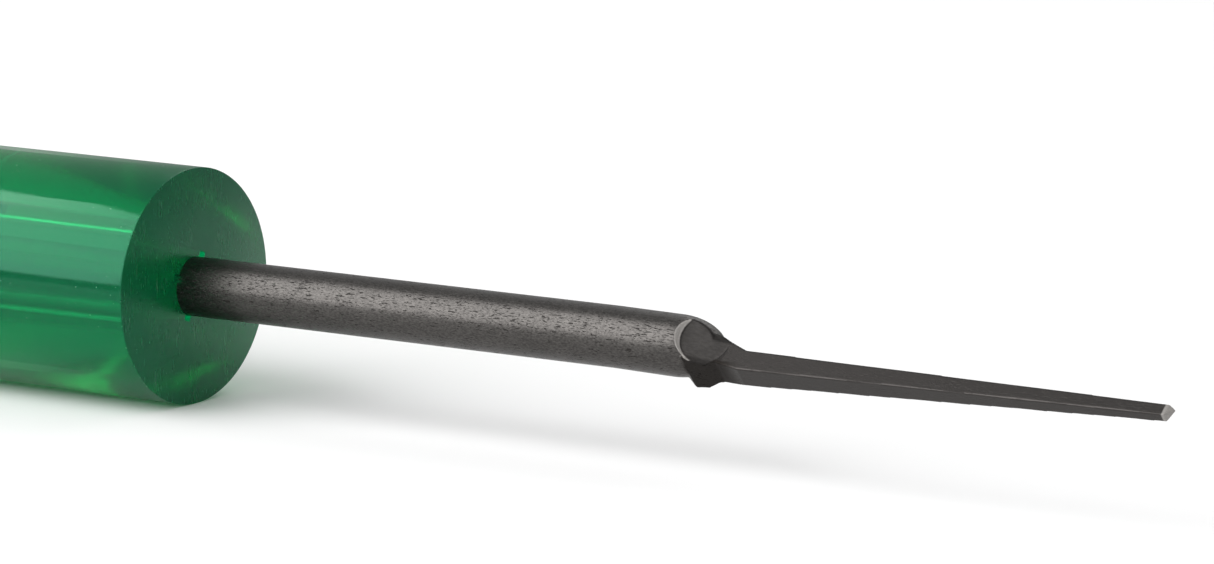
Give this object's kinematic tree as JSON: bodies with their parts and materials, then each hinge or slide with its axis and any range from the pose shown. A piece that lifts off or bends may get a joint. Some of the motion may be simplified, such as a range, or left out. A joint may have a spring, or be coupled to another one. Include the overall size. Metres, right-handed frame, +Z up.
{
  "type": "scratch awl",
  "caption": "Scratch awl with a round clear plastic handle, a dark round steel shank and a square blade tapered to a point.",
  "frame": {"origin": "on the tool's axis, in the plane of the handle's front face", "axes": "+X along the axis towards the point, +Z up with the tool lying on its side, +Y to the left of the point's direction"},
  "size_m": [0.221, 0.0254, 0.0254],
  "materials": {
    "handle_plastic": "clear green cellulose acetate, polished round the grip, cut and lightly scratched on the front face",
    "shank_steel": "forged carbon steel, blackened, with small pits along the bar and ground edges at the head and point"
  },
  "bodies": {
    "root": {"handle": "handle_plastic", "shank": "shank_steel"}
  },
  "joints": []
}
